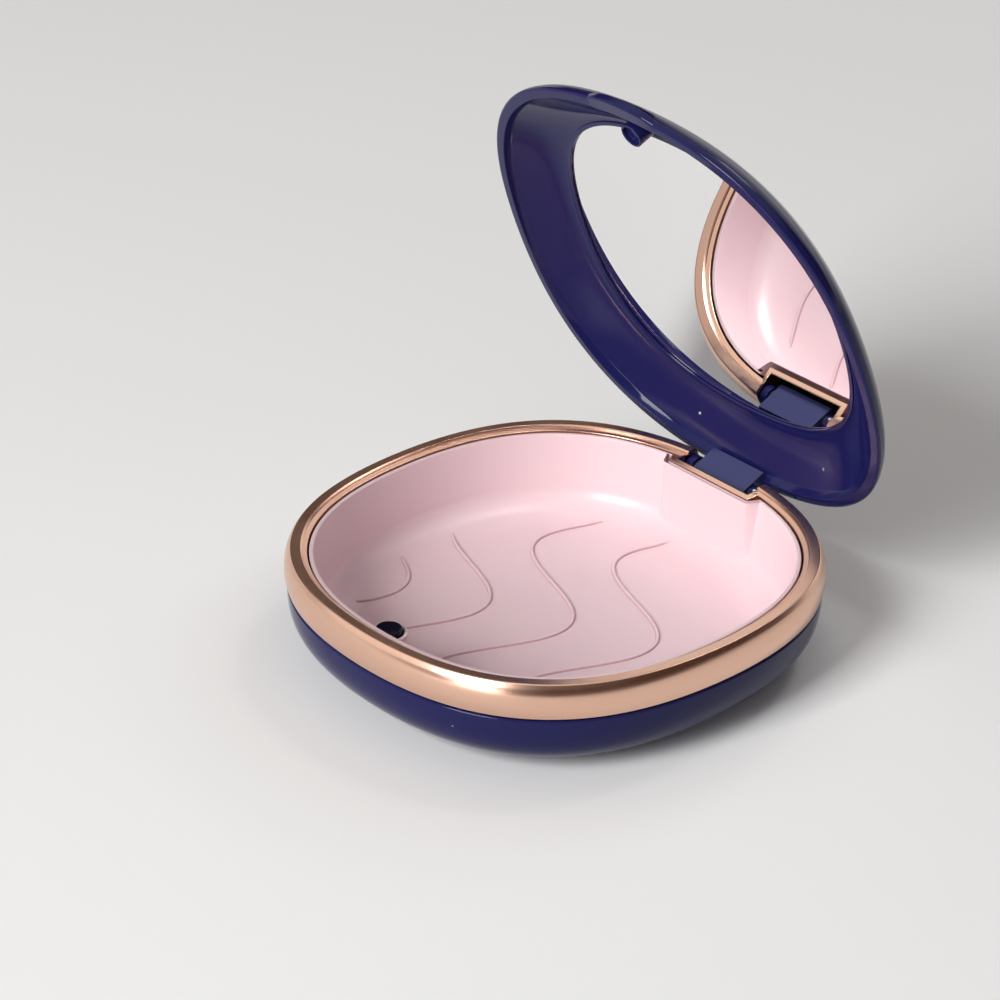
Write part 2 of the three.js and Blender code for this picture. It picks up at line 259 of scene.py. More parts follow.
def middle_of(edge):
    return (edge.verts[0].co + edge.verts[1].co) / 2


def close_ends(piece):
    """Closes the open end on each side of a piece with one face."""
    for side in (-1, 1):
        choose(piece, "EDGE",
               lambda edge: len(edge.link_faces) == 1 and side * middle_of(edge).x > 0)
        bpy.ops.mesh.edge_face_add()
        leave()


def sharp(edge, degrees=40):
    return len(edge.link_faces) == 2 and edge.calc_face_angle(0) > math.radians(degrees)


def join(name, *parts):
    """Joins parts into the first one, under a name."""
    only(parts[0])
    for part in parts[1:]:
        part.select_set(True)
    bpy.ops.object.join()
    parts[0].name = name
    return parts[0]


def cut_out(piece, other):
    """Cuts another body out of a piece, and deletes the other body."""
    only(piece)
    change = piece.modifiers.new("cut", "BOOLEAN")
    change.operation = "DIFFERENCE"
    change.object = other
    change.solver = "EXACT"
    bpy.ops.object.modifier_apply(modifier=change.name)
    bpy.data.objects.remove(other, do_unlink=True)


def hinge_barrel(name, width, left, right, sides=64):
    """A cylinder on the hinge pin's line."""
    bpy.ops.object.select_all(action="DESELECT")
    bpy.ops.mesh.primitive_cylinder_add(
        vertices=sides,
        radius=width / 2,
        depth=right - left,
        location=((left + right) / 2, HINGE.y, HINGE.z),
        rotation=(0, math.pi / 2, 0),
    )
    piece = bpy.context.object
    piece.name = name
    bpy.ops.object.transform_apply(location=True, rotation=True, scale=True)
    return piece


def round_edges(piece, test, width, steps=3):
    """Rounds the sharp edges that pass a test."""
    choose(piece, "EDGE", lambda edge: sharp(edge) and test(edge))
    bpy.ops.mesh.bevel(
        offset=width, segments=steps, profile=0.5, affect="EDGES", clamp_overlap=True)
    leave()


def open_lid(piece):
    """Turns a piece that was modelled shut about the hinge pin, to where the lid stands."""
    turn = Matrix.Rotation(-LID_OPEN, 4, "X")
    place = Matrix.Translation(HINGE)
    piece.matrix_world = place @ turn @ place.inverted()
    only(piece)
    bpy.ops.object.transform_apply(location=True, rotation=True, scale=True)


def dome_half(edge_half, share, power):
    """Half width of a dome at a share of a quarter turn from its edge to its top."""
    return edge_half * math.cos(share * math.pi / 2) ** (2 / power)


def dome_line(edge_half, edge, top, power, count, stop_half=0.0):
    """Half widths and heights in millimetres along a dome, from its edge to its top."""
    last = math.acos((stop_half / edge_half) ** (power / 2)) / (math.pi / 2)
    line = []
    for i in range(count + 1):
        share = last * (i / count) ** 1.15
        height = edge + (top - edge) * math.sin(share * math.pi / 2) ** (2 / power)
        half = dome_half(edge_half, min(share, 1), power) if share < 0.99999 else 0.0
        line.append((half, height))
    return line


# Materials


def material(name, base, roughness, metallic=0.0, **sockets):
    """A material with one glossy shader, whose plain values sit on its own sockets."""
    made = bpy.data.materials.new(name)
    made.use_nodes = True
    shader = made.node_tree.nodes["Principled BSDF"]
    shader.inputs["Base Color"].default_value = (*base, 1)
    shader.inputs["Roughness"].default_value = roughness
    shader.inputs["Metallic"].default_value = metallic
    for socket, value in sockets.items():
        shader.inputs[socket.replace("_", " ")].default_value = value
    return made


def node(tree, kind, place, **settings):
    made = tree.nodes.new(kind)
    made.location = place
    for setting, value in settings.items():
        setattr(made, setting, value)
    return made


def handling_group():
    """Signs of handling: hair scratches, faint smears and specks of dust."""
    group = bpy.data.node_groups.new("Handling marks", "ShaderNodeTree")
    face = group.interface
    for label, low in (("Scratch depth", 0.3), ("Smear", 0.06), ("Dust", 0.5), ("Roughness", 0.1)):
        socket = face.new_socket(name=label, in_out="INPUT", socket_type="NodeSocketFloat")
        socket.default_value = low
    face.new_socket(name="Color", in_out="INPUT", socket_type="NodeSocketColor")
    face.new_socket(name="Color", in_out="OUTPUT", socket_type="NodeSocketColor")
    face.new_socket(name="Roughness", in_out="OUTPUT", socket_type="NodeSocketFloat")
    face.new_socket(name="Height", in_out="OUTPUT", socket_type="NodeSocketFloat")
    into = node(group, "NodeGroupInput", (-1200, 0))
    out = node(group, "NodeGroupOutput", (800, 0))
    link = group.links.new
    place = node(group, "ShaderNodeTexCoord", (-1200, 300))

    smear = node(group, "ShaderNodeTexNoise", (-800, 300))
    smear.inputs["Scale"].default_value = 70
    smear.inputs["Detail"].default_value = 4
    link(place.outputs["Object"], smear.inputs["Vector"])
    smear_span = node(group, "ShaderNodeMapRange", (-600, 300))
    smear_span.inputs["From Min"].default_value = 0.42
    smear_span.inputs["From Max"].default_value = 0.72
    link(smear.outputs["Fac"], smear_span.inputs["Value"])
    smear_size = node(group, "ShaderNodeMath", (-400, 300), operation="MULTIPLY")
    link(smear_span.outputs["Result"], smear_size.inputs[0])
    link(into.outputs["Smear"], smear_size.inputs[1])
    rough = node(group, "ShaderNodeMath", (-200, 300), operation="ADD")
    link(smear_size.outputs[0], rough.inputs[0])
    link(into.outputs["Roughness"], rough.inputs[1])
    link(rough.outputs[0], out.inputs["Roughness"])

    stretch = node(group, "ShaderNodeMapping", (-1000, -100))
    stretch.inputs["Scale"].default_value = (240, 1900, 700)
    stretch.inputs["Rotation"].default_value = (0.4, 0.2, 0.7)
    link(place.outputs["Object"], stretch.inputs["Vector"])
    hair = node(group, "ShaderNodeTexNoise", (-800, -100))
    hair.inputs["Scale"].default_value = 1
    hair.inputs["Detail"].default_value = 2
    link(stretch.outputs["Vector"], hair.inputs["Vector"])
    hair_span = node(group, "ShaderNodeMapRange", (-600, -100))
    hair_span.inputs["From Min"].default_value = 0.66
    hair_span.inputs["From Max"].default_value = 0.74
    link(hair.outputs["Fac"], hair_span.inputs["Value"])
    hair_depth = node(group, "ShaderNodeMath", (-400, -100), operation="MULTIPLY")
    link(hair_span.outputs["Result"], hair_depth.inputs[0])
    link(into.outputs["Scratch depth"], hair_depth.inputs[1])
    link(hair_depth.outputs[0], out.inputs["Height"])

    specks = node(group, "ShaderNodeTexVoronoi", (-800, -500), feature="F1")
    specks.inputs["Scale"].default_value = 260
    link(place.outputs["Object"], specks.inputs["Vector"])
    near = node(group, "ShaderNodeMapRange", (-600, -500))
    near.inputs["From Min"].default_value = 0.09
    near.inputs["From Max"].default_value = 0.04
    link(specks.outputs["Distance"], near.inputs["Value"])
    rare = node(group, "ShaderNodeSeparateColor", (-600, -700))
    link(specks.outputs["Color"], rare.inputs["Color"])
    rare_span = node(group, "ShaderNodeMapRange", (-400, -700))
    rare_span.inputs["From Min"].default_value = 0.9
    rare_span.inputs["From Max"].default_value = 0.95
    link(rare.outputs["Red"], rare_span.inputs["Value"])
    speck = node(group, "ShaderNodeMath", (-200, -500), operation="MULTIPLY")
    link(near.outputs["Result"], speck.inputs[0])
    link(rare_span.outputs["Result"], speck.inputs[1])
    dust = node(group, "ShaderNodeMath", (0, -500), operation="MULTIPLY")
    link(speck.outputs[0], dust.inputs[0])
    link(into.outputs["Dust"], dust.inputs[1])
    paint = node(group, "ShaderNodeMix", (300, -200), data_type="RGBA")
    paint.inputs["B"].default_value = (0.75, 0.73, 0.72, 1)
    link(dust.outputs[0], paint.inputs["Factor"])
    link(into.outputs["Color"], paint.inputs["A"])
    link(paint.outputs["Result"], out.inputs["Color"])
    return group


HANDLING = handling_group()


SCRATCH_DEPTH = 0.02 * mm


def handled(made, scratch, smear, dust, bump):
    """Gives a material its signs of handling."""
    tree = made.node_tree
    shader = tree.nodes["Principled BSDF"]
    marks = node(tree, "ShaderNodeGroup", (-500, 100), node_tree=HANDLING)
    marks.inputs["Scratch depth"].default_value = scratch
    marks.inputs["Smear"].default_value = smear
    marks.inputs["Dust"].default_value = dust
    marks.inputs["Roughness"].default_value = shader.inputs["Roughness"].default_value
    marks.inputs["Color"].default_value = shader.inputs["Base Color"].default_value
    tree.links.new(marks.outputs["Color"], shader.inputs["Base Color"])
    tree.links.new(marks.outputs["Roughness"], shader.inputs["Roughness"])
    raised = node(tree, "ShaderNodeBump", (-250, -200))
    raised.inputs["Strength"].default_value = bump
    raised.inputs["Distance"].default_value = SCRATCH_DEPTH
    tree.links.new(marks.outputs["Height"], raised.inputs["Height"])
    tree.links.new(raised.outputs["Normal"], shader.inputs["Normal"])
    return marks


def toned(made, marks, attribute, colour):
    """Lets an attribute of the mesh turn a material towards another colour."""
    tree = made.node_tree
    mask = node(tree, "ShaderNodeAttribute", (-1000, 0), attribute_name=attribute)
    blend = node(tree, "ShaderNodeMix", (-750, 0), data_type="RGBA")
    blend.inputs["A"].default_value = marks.inputs["Color"].default_value
    blend.inputs["B"].default_value = (*colour, 1)
    tree.links.new(mask.outputs["Fac"], blend.inputs["Factor"])
    tree.links.new(blend.outputs["Result"], marks.inputs["Color"])


def paint(piece, attribute, share_at):
    """Gives each vertex of a piece its share of an attribute."""
    layer = piece.data.attributes.new(attribute, "FLOAT", "POINT")
    for vertex in piece.data.vertices:
        layer.data[vertex.index].value = share_at(vertex)


navy = material("polished_navy", (0.011, 0.011, 0.075), 0.07, Specular_IOR_Level=0.2)
# The hinge leaf is turned to a lighter navy colour; its roughness stays that of the navy
toned(navy, handled(navy, 0.25, 0.05, 0.9, 0.25), "leaf_lighter_navy", (0.036, 0.04, 0.125))

dark_navy = material("dark_navy", (0.004, 0.003, 0.016), 0.12, Specular_IOR_Level=0.2)
handled(dark_navy, 0.25, 0.05, 0.9, 0.25)

rose_gold = material("rose_gold", (0.82, 0.52, 0.39), 0.23, 1.0)
handled(rose_gold, 0.3, 0.05, 0.0, 0.3)

pink = material("satin_pink", (0.855, 0.645, 0.675), 0.28)
# Painted shade: the pink turns mauve on the sides of the floor ribs, where shade falls at their
# foot
toned(pink, handled(pink, 0.3, 0.06, 0.0, 0.2), "painted_rib_shade", (0.5, 0.27, 0.3))

mirror = material("mirror_silver", (0.97, 0.972, 0.972), 0.0, 1.0)
handled(mirror, 0.0, 0.004, 0.0, 0.0)

steel = material("hinge_steel", (0.6, 0.61, 0.63), 0.26, 1.0)
handled(steel, 0.4, 0.1, 0.0, 0.4)

black_steel = material("blackened_steel", (0.04, 0.04, 0.05), 0.35, 1.0)
handled(black_steel, 0.4, 0.1, 0.0, 0.4)

nickel = material("magnet_nickel", (0.6, 0.58, 0.55), 0.22, 1.0)
handled(nickel, 0.4, 0.1, 0.0, 0.4)

foam = material("adhesive_foam", (0.78, 0.78, 0.74), 0.9)
handled(foam, 0.2, 0.05, 0.0, 0.4)


def finish_with(piece, made):
    piece.data.materials.clear()
    piece.data.materials.append(made)


for name, made in (
    ("base_magnet", nickel),
    ("lid_magnet", nickel),
    ("hinge_pin", steel),
    ("left_friction_washer", black_steel),
    ("right_friction_washer", black_steel),
    ("mirror_foam_pad", foam),
):
    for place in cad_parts[name].material_slots:
        place.material = made


def carry(piece, body, slot, made, *nodes):
    """Puts a finished piece on its body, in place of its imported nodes."""
    finish_with(piece, made)
    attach(piece, body)
    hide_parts(*nodes)


# Bottom shell: a shallow bowl with a flat underside, and two ears for the pin


def shell_line(inset, count):
    """Corners along the shell's skin from its top edge, which is rounded, to its flat."""
    line = []
    for i in range(count + 1):
        turn = math.pi / 2 * i / count
        round_share = 1 - math.cos(turn) ** (2 / SHELL_POWER)
        half = SHELL_HALF - SHELL_ROUND * round_share - inset
        height = SHELL_TOP - (SHELL_TOP - inset) * math.sin(turn) ** (2 / SHELL_POWER)
        line.append((half, height, 0.35 if i == 0 else 0))
    return line


bowl = turned("bowl", profile(
    (0, 0), *reversed(shell_line(0, 30)), *shell_line(SHELL_WALL, 14), (0, SHELL_WALL)))
follow_plan(bowl)

EAR_OUTER = 8.2 * mm
EAR_INNER = 6.8 * mm
EAR_DEPTH = 6 * mm
EAR_ROUNDING = 0.2 * mm
KNUCKLE = 4.2 * mm
PIN_HOLE = 2.2 * mm
HOLE_SIDES = 32


def hinge_ear(side):
    """An ear with a round top and a foot that runs down into the shell."""
    left, right = sorted((side * EAR_INNER, side * EAR_OUTER))
    ear = hinge_barrel("ear", KNUCKLE, left, right)
    foot = HINGE.z - EAR_DEPTH
    choose(ear, "VERT", lambda vertex: vertex.co.z < HINGE.z - SLIGHT)
    bpy.ops.transform.resize(value=(1, 1, 0), center_override=(0, 0, foot))
    leave()
    round_edges(ear, lambda edge: abs(edge.verts[0].co.x - edge.verts[1].co.x) < SLIGHT
                and middle_of(edge).z > foot + 0.1 * mm, EAR_ROUNDING)
    cut_out(ear, hinge_barrel("hole", PIN_HOLE, left - mm, right + mm, HOLE_SIDES))
    return ear


bowl = join("shell_bowl", bowl, hinge_ear(-1), hinge_ear(1))
soften(bowl)
carry(bowl, "base", "navy_plastic", navy, "bottom_shell")

# Rim band: a swelling ring with a flat crown and an inner ledge

NOTCH = 8.4 * mm
NOTCH_FRONT = 36.9 * mm
NOTCH_BACK = 39.6 * mm

BAND_HALF = 41.5
BAND_LEAN = 0.35
BAND_SWELL = 0.55
BAND_SIDE_FOOT = 12.55
BAND_SIDE_RISE = 5.4


def band_line():
    """Corners round the band: its swelling side, the crown, and the step down to the ledge."""
    line = [(LEDGE_HALF, BAND_BOTTOM, 0.05), (SHELL_HALF, BAND_BOTTOM, 0.3)]
    count = 24
    for i in range(1, count):
        share = i / count
        swell = BAND_SWELL * (1 - abs(2 * share - 1) ** 2.4)
        half = BAND_HALF + BAND_LEAN * (1 - share) + swell
        line.append((half, BAND_SIDE_FOOT + BAND_SIDE_RISE * share))
    line += [(41.2, CROWN, 0.3), (39.62, CROWN, 0.06), (39.35, 18.14, 0.06)]
    line += [(39.35, 17.86, 0.04), (LEDGE_HALF, LEDGE, 0.14)]
    return line


band = turned("band", profile(*band_line(), closed=True))
follow_plan(band)


def cut_notch(piece, half):
    """Cuts a ring open at its back and closes the two ends."""

    def near(face, reach):
        middle = face.calc_center_median()
        return middle.y > 0 and abs(middle.x) < reach

    for side in (-1, 1):
        choose(piece, "FACE", lambda face: near(face, 2 * half))
        bpy.ops.mesh.bisect(plane_co=(side * half, 0, 0), plane_no=(1, 0, 0))
        leave()
    choose(piece, "FACE", lambda face: near(face, half))
    bpy.ops.mesh.delete(type="FACE")
    leave()
    close_ends(piece)


cut_notch(band, NOTCH)


def notch_rail():
    """The wall round the three sides of the notch, whose flat top slopes off to the tray."""
    line = profile(
        (0, 17.9, 0.05), (0.2, 17.9, 0.05), (1, 17.6, 0.1), (1, BAND_BOTTOM, 0),
        (0, BAND_BOTTOM, 0), closed=True, steps=3)
    bpy.ops.object.select_all(action="DESELECT")
    bpy.ops.mesh.primitive_grid_add(
        x_subdivisions=3, y_subdivisions=len(line) - 1, size=1, location=(0, 0, 0))
    rail = bpy.context.object
    rail.name = "rail"
    for vertex in rail.data.vertices:
        stop = round((vertex.co.x + 0.5) * 3)
        across = line[round((vertex.co.y + 0.5) * (len(line) - 1))]
        side = -1 if stop < 2 else 1
        back = NOTCH_BACK if stop in (0, 3) else NOTCH_FRONT - across.x
        vertex.co = (side * (NOTCH + across.x), back, across.y)
    merge(rail)
    close_ends(rail)
    choose_all(rail)
    bpy.ops.mesh.normals_make_consistent(inside=False)
    leave()
    return rail


band = join("gold_band", band, notch_rail())
soften(band, 35)
carry(band, "base", "rose_gold_plating", rose_gold, "rim_band")

# Tray: two skins that meet at the lip, with the bay round the hinge notch pushed into both


def bay_limit(angle, reach, leg, front, corner_in, corner_out):
    """How far a wall stands out at an angle from the back when a bay is pushed into it.

    The bay's front corners are soft, and it meets the wall in a crisp line.
    """
    turn = abs(angle)
    corner = math.atan2(leg, front)
    if turn > corner + math.radians(8):
        return reach
    bay = front / math.cos(min(turn, corner))
    if bay >= reach:
        return reach
    share = (turn - (corner - corner_in)) / (corner_in + corner_out)
    return bay + (reach - bay) * min(1, max(0, share)) ** 1.8


def with_bay(leg, front, corner_in, corner_out):
    """A rule that pushes the hinge bay into a body that follows the plan."""

    def reshape(spot, half):
        reach = math.hypot(spot.x, spot.y)
        angle = math.atan2(spot.x, spot.y)
        limit = bay_limit(angle, reach, leg, front, corner_in, corner_out)
        return Vector((limit * math.sin(angle), limit * math.cos(angle), spot.z))

    return reshape


def tray_round(outward, down, count):
    """Corners along the round between the tray's wall and its floor."""
    line = []
    for i in range(count + 1):
        turn = math.pi / 2 * i / count
        half = TRAY_HALF + outward - TRAY_ROUND * (1 - math.cos(turn))
        line.append((half, TRAY_ROUND_TOP - down - TRAY_ROUND_DEPTH * math.sin(turn)))
    return line


BAY_HALF_WIDTH = 10.4 * mm
BAY_FRONT = 34.9 * mm
BAY_WALL = 0.7 * mm
CRISP = math.radians(0.5)
SOFT = math.radians(0.8)

tray_inside = turned("tray_inside", profile(
    (0, 3.8), *reversed(tray_round(0, 0, 20)), (36.6, 11.1), (37.07, 14.1), (37.45, 16.6),
    (37.6, TRAY_LIP, 0.3), (TRAY_LIP_HALF, TRAY_LIP)))
follow_plan(tray_inside, with_bay(BAY_HALF_WIDTH, BAY_FRONT, SOFT, CRISP))
tray_outside = turned("tray_outside", profile(
    (TRAY_LIP_HALF, TRAY_LIP), (38.3, TRAY_LIP, 0.15), *tray_round(0.7, 1.3, 14), (0, 2.5)))
follow_plan(tray_outside, with_bay(
    BAY_HALF_WIDTH - BAY_WALL, BAY_FRONT + BAY_WALL, CRISP, CRISP))
tray = join("tray", tray_inside, tray_outside)
merge(tray)
choose(tray, "EDGE", lambda edge: len(edge.link_faces) == 1)
bpy.ops.mesh.bridge_edge_loops()
bpy.ops.mesh.select_all(action="SELECT")
bpy.ops.mesh.normals_make_consistent(inside=False)
leave()

# Boss that carries the catch post
boss = turned("boss", profile(
    (0, 10.9), (2.5, 10.9), (2.5, 15.8, 0.12), (3.1, 15.8, 0.15), (3.1, 3.0), (0, 3.0)),
    columns=64, middle=CATCH)


def tray_height(half):
    """Height of the tray's inside at a half width, on its floor or on the floor's round edge."""
    turn = math.acos(min(1, max(0, 1 - (TRAY_HALF - half / mm) / TRAY_ROUND)))
    return (TRAY_ROUND_TOP - TRAY_ROUND_DEPTH * math.sin(turn)) * mm


WAVE_LENGTH = 46 * mm
WAVE_SWING = 8.2 * mm
WAVE_START = 0.6 * mm
WAVE_TURN = math.radians(24 - 90)
FIRST_WAVE = -35.5 * mm
WAVE_PITCH = 15.3 * mm
RIB_RUN = 84.2 * mm
RIB_HALF = 0.4 * mm
RIB_HEIGHT = 0.46 * mm
RIB_SINK = 0.06 * mm
RIB_END = 33 * mm
RIB_FADE = 2.5 * mm


def floor_wave(place):
    """A thin rounded rib along a wave on the floor, which fades out on the round of the tray, its
    sides darkened with painted shade.
    """
    bpy.ops.object.select_all(action="DESELECT")
    bpy.ops.mesh.primitive_grid_add(
        x_subdivisions=130, y_subdivisions=6, size=1, location=(0, 0, 0))
    rib = bpy.context.object
    # Painted shade: the rib's sides get a share that darkens the pink towards its foot
    paint(rib, "painted_rib_shade", lambda vertex: smooth(2.4 * abs(vertex.co.y) - 0.3))
    turn = Matrix.Rotation(WAVE_TURN, 2)
    for vertex in rib.data.vertices:
        along = vertex.co.x * RIB_RUN
        side = vertex.co.y * 2
        phase = 2 * math.pi * (along - WAVE_START) / WAVE_LENGTH
        slope = -2 * math.pi * WAVE_SWING / WAVE_LENGTH * math.sin(phase)
        across = Vector((-slope, 1)).normalized() * (side * RIB_HALF)
        line = Vector((along, place + WAVE_SWING * math.cos(phase)))
        spot = turn @ (line + across)
        half = math.hypot(spot.x, spot.y / STRETCH) / plan_share(math.atan2(spot.x, spot.y))
        fade = smooth((RIB_END - half) / RIB_FADE)
        height = RIB_HEIGHT * math.sqrt(max(0, 1 - abs(side) ** 2.4)) * fade - RIB_SINK
        vertex.co = (spot.x, spot.y, tray_height(half) + height)
    rib.name = "wave"
    choose(rib, "FACE", lambda face: math.hypot(
        face.calc_center_median().x, face.calc_center_median().y / STRETCH) > RIB_END + mm / 2)
    bpy.ops.mesh.delete(type="FACE")
    leave()
    choose_all(rib)
    bpy.ops.mesh.normals_make_consistent(inside=False)
    bpy.ops.mesh.extrude_region_move(TRANSFORM_OT_translate={"value": (0, 0, -0.6 * mm)})
    bpy.ops.mesh.select_all(action="SELECT")
    bpy.ops.mesh.normals_make_consistent(inside=False)
    leave()
    return rib


waves = [floor_wave(FIRST_WAVE + WAVE_PITCH * i) for i in range(4)]
tray = join("pink_tray", tray, boss, *waves)
soften(tray, 30)
carry(tray, "base", "pink_plastic", pink, "inner_tray")

# Catch post: a closed cap over the base magnet
post = turned("catch_post", profile(
    (0, 16.6), (2.2, 16.6, 0.3), (2.2, 11.4, 0.1), (1.7, 11.4, 0.1), (1.7, 16.1), (0, 16.1),
    steps=6), columns=96, middle=CATCH)
soften(post)
carry(post, "base", "navy_plastic", dark_navy, "base_magnet_post")

# Lid dome, with the hollow above the thumb lip


SCOOP_HALF_WIDTH = 8 * mm
SCOOP_HALF_HEIGHT = 2.2 * mm
SCOOP_HEIGHT = (DOME_EDGE + 1.5) * mm
SCOOP_FRONT = -42.1 * mm
SCOOP_DEPTH = 1.05 * mm


def scoop(spot, half):
    """Presses a long flat ball into the front of the dome."""
    if spot.y > 0:
        return spot
    rise = (spot.z - SCOOP_HEIGHT) / SCOOP_HALF_HEIGHT
    ball = 1 - (spot.x / SCOOP_HALF_WIDTH) ** 2 - rise ** 2
    if ball <= 0:
        return spot
    limit = SCOOP_FRONT + SCOOP_DEPTH * math.sqrt(ball)
    return Vector((spot.x, max(spot.y, limit), spot.z))


DOME_INNER_HALF = 40.0
DOME_INNER_TOP = 32.3

dome_out = dome_line(DOME_HALF, DOME_EDGE, DOME_TOP, DOME_POWER, 44)
dome_in = dome_line(DOME_INNER_HALF, DOME_EDGE, DOME_INNER_TOP, DOME_POWER, 20)
dome = turned("dome", profile(
    *[(*spot, 0) for spot in reversed(dome_out)][:-1],
    (DOME_HALF, DOME_EDGE, 0.15), (DOME_INNER_HALF, DOME_EDGE, 0.15), *dome_in[1:]))
follow_plan(dome, scoop)
open_lid(dome)
dome.name = "lid_dome"
soften(dome)
carry(dome, "lid", "navy_plastic", navy, "lid_shell")

# Lid frame: flat rim face with the thumb lip, cove round the mirror, catch tube and hinge leaf


LIP_HALF_WIDTH = 7.5 * mm
LIP_START = 40.6 * mm
LIP_REACH = 1.1 * mm
LIP_DROOP = 0.5 * mm
LIP_UNDERSIDE = 19.3 * mm


def thumb_lip(spot, half):
    """Draws the front of the rim out into the thumb lip, whose underside droops a little."""
    if spot.y > 0 or abs(spot.x) > LIP_HALF_WIDTH or half < LIP_START:
        return spot
    share = 1 - abs(spot.x / LIP_HALF_WIDTH) ** 3
    out = (half / mm - RIM_INNER_HALF) / (RIM_OUTER_HALF - RIM_INNER_HALF)
    droop = LIP_DROOP * share * out if spot.z < LIP_UNDERSIDE else 0
    return Vector((spot.x, spot.y - LIP_REACH * share, spot.z - droop))


COVE_HALF = 31
COVE_WIDTH = 8.3
COVE_EDGE = 19.95
COVE_DEPTH = 5.0


def cove_line(count):
    """The hollow between the rim's steep step and the mirror, flat where it meets the mirror."""
    line = []
    for i in range(count + 1):
        share = 1 - i / count
        line.append((COVE_HALF + COVE_WIDTH * share, COVE_EDGE + COVE_DEPTH * (1 - share ** 1.5)))
    return line


cove = cove_line(26)
back = dome_line(RIM_INNER_HALF, 19.6, 32.0, DOME_POWER, 16, 30.8)
rim_out = [(RIM_OUTER_HALF, RIM, 0.75), (RIM_INNER_HALF, RIM, 0.15)]
bezel = [(30.92, 24.75, 0.06), (30.2, 24.75, 0.08), (30.2, 25.1, 0.03), (30.8, 25.1)]
lid_frame = turned("lid_frame", profile(
    *rim_out, *cove, *bezel, *reversed(back), (41.36, 19.86, 0.1), closed=True))
follow_plan(lid_frame, thumb_lip)

tube = turned("tube", profile(
    (0, 20.2), (1.65, 20.2, 0.1), (1.75, 19.4, 0.08), (2.15, 19.4, 0.12), (2.15, 25), (0, 25)),
    columns=96, middle=CATCH)
choose_all(tube)
bpy.ops.mesh.bisect(
    plane_co=(0, -38.15 * mm, 22.2 * mm),
    plane_no=Vector((0, -1.7, 4.3)).normalized(),
    use_fill=True,
    clear_outer=True,
)
leave()

LEAF_HALF_WIDTH = 6 * mm
LEAF_TOP = 19.4 * mm
LEAF_ROUNDING = 0.22 * mm

leaf = hinge_barrel("leaf", KNUCKLE, -LEAF_HALF_WIDTH, LEAF_HALF_WIDTH)
choose(leaf, "VERT", lambda vertex: vertex.co.z > HINGE.z + SLIGHT)
bpy.ops.transform.resize(value=(1, 1, 0), center_override=(0, 0, LEAF_TOP))
leave()
# The leaf's lower front is square, where the barrel was round
for vertex in leaf.data.vertices:
    spot = vertex.co - HINGE
    if spot.y < 0 and spot.z < 0:
        grow = KNUCKLE / 2 / max(abs(spot.y), abs(spot.z))
        vertex.co = (vertex.co.x, HINGE.y + spot.y * grow, HINGE.z + spot.z * grow)
round_edges(leaf, lambda edge: middle_of(edge).z < LEAF_TOP - 0.1 * mm, LEAF_ROUNDING)
cut_out(leaf, hinge_barrel(
    "hole", PIN_HOLE, -LEAF_HALF_WIDTH - mm, LEAF_HALF_WIDTH + mm, HOLE_SIDES))
# The whole hinge leaf takes the lighter navy colour
paint(leaf, "leaf_lighter_navy", lambda vertex: 1)

lid_frame = join("lid_inner_frame", lid_frame, tube, leaf)
open_lid(lid_frame)
soften(lid_frame)
carry(lid_frame, "lid", "navy_plastic", navy, "lid_liner")

# Mirror: a plate behind the frame's opening

MIRROR_HALF = 30.3
MIRROR_FACE = 25.2
MIRROR_BACK = 26.0

glass = turned("glass", profile(
    (0, MIRROR_FACE), (MIRROR_HALF, MIRROR_FACE, 0.1), (MIRROR_HALF, MIRROR_BACK, 0.1),
    (0, MIRROR_BACK), steps=3))
follow_plan(glass)
open_lid(glass)
glass.name = "lid_mirror"
soften(glass, 20)
carry(glass, "lid", "mirror", mirror, "mirror_glass")

# Floor, backdrop, light and camera

bpy.ops.object.select_all(action="DESELECT")
bpy.ops.mesh.primitive_plane_add(size=2.4, location=(0, 0, 0))
floor = bpy.context.object
floor.name = "floor"


def floor_material():
    """A pale matt floor, a little darker for the light that it throws back than as it is seen."""
    stone = material("pale_floor", (0.74, 0.725, 0.715), 0.8, Specular_IOR_Level=0.2)
    tree = stone.node_tree
    link = tree.links.new
    rays = node(tree, "ShaderNodeLightPath", (-700, 300))
    mirrored = node(tree, "ShaderNodeMix", (-450, 200), data_type="RGBA")
    mirrored.inputs["A"].default_value = (0.7, 0.69, 0.68, 1)
    mirrored.inputs["B"].default_value = (0.94, 0.935, 0.925, 1)
    tint = node(tree, "ShaderNodeMix", (-250, 200), data_type="RGBA")
    tint.inputs["B"].default_value = (0.97, 0.965, 0.955, 1)
    link(rays.outputs["Is Glossy Ray"], mirrored.inputs["Factor"])
    link(rays.outputs["Is Camera Ray"], tint.inputs["Factor"])
    link(mirrored.outputs["Result"], tint.inputs["A"])
    link(tint.outputs["Result"], tree.nodes["Principled BSDF"].inputs["Base Color"])
    return stone


finish_with(floor, floor_material())


